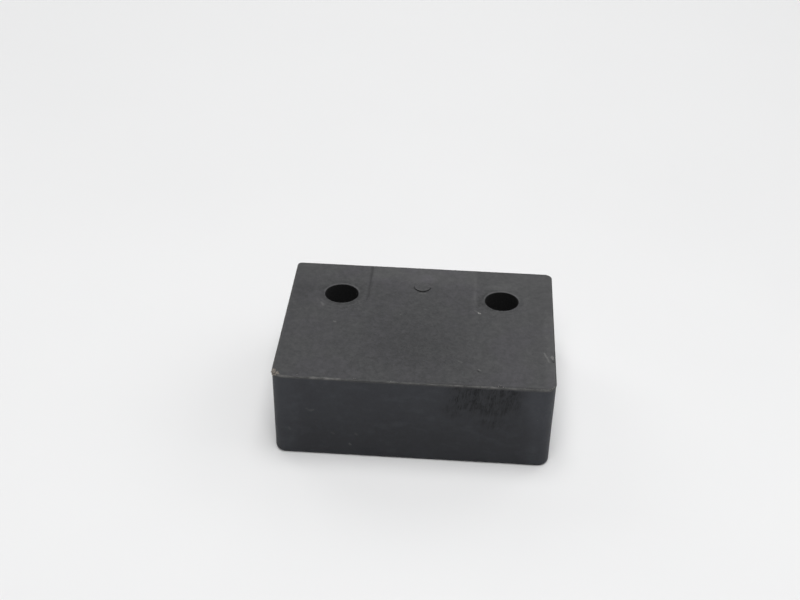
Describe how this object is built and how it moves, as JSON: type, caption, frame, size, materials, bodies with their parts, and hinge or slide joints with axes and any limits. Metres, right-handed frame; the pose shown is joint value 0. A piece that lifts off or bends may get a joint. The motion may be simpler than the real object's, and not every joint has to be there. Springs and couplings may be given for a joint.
{
  "type": "rubber bumper block",
  "caption": "Moulded black rubber bumper block with counterbored bolt holes near its rear edge and steel washers moulded in.",
  "frame": {"origin": "centre of the block's outline on the plane of its outer face, the rounded-edged face that it lies on", "axes": "+X along the block's length and the row of bolts, +Y towards the rear face that the bolts are close to, +Z towards the flat mounting face"},
  "size_m": [0.098, 0.074, 0.034],
  "materials": {
    "moulded_rubber": "dull moulded black rubber, faintly grey with bloom",
    "zinc_plated_steel": "dull zinc plating"
  },
  "bodies": {
    "root": {"rubber_block": "moulded_rubber", "left_washer": "zinc_plated_steel", "right_washer": "zinc_plated_steel"}
  },
  "joints": []
}
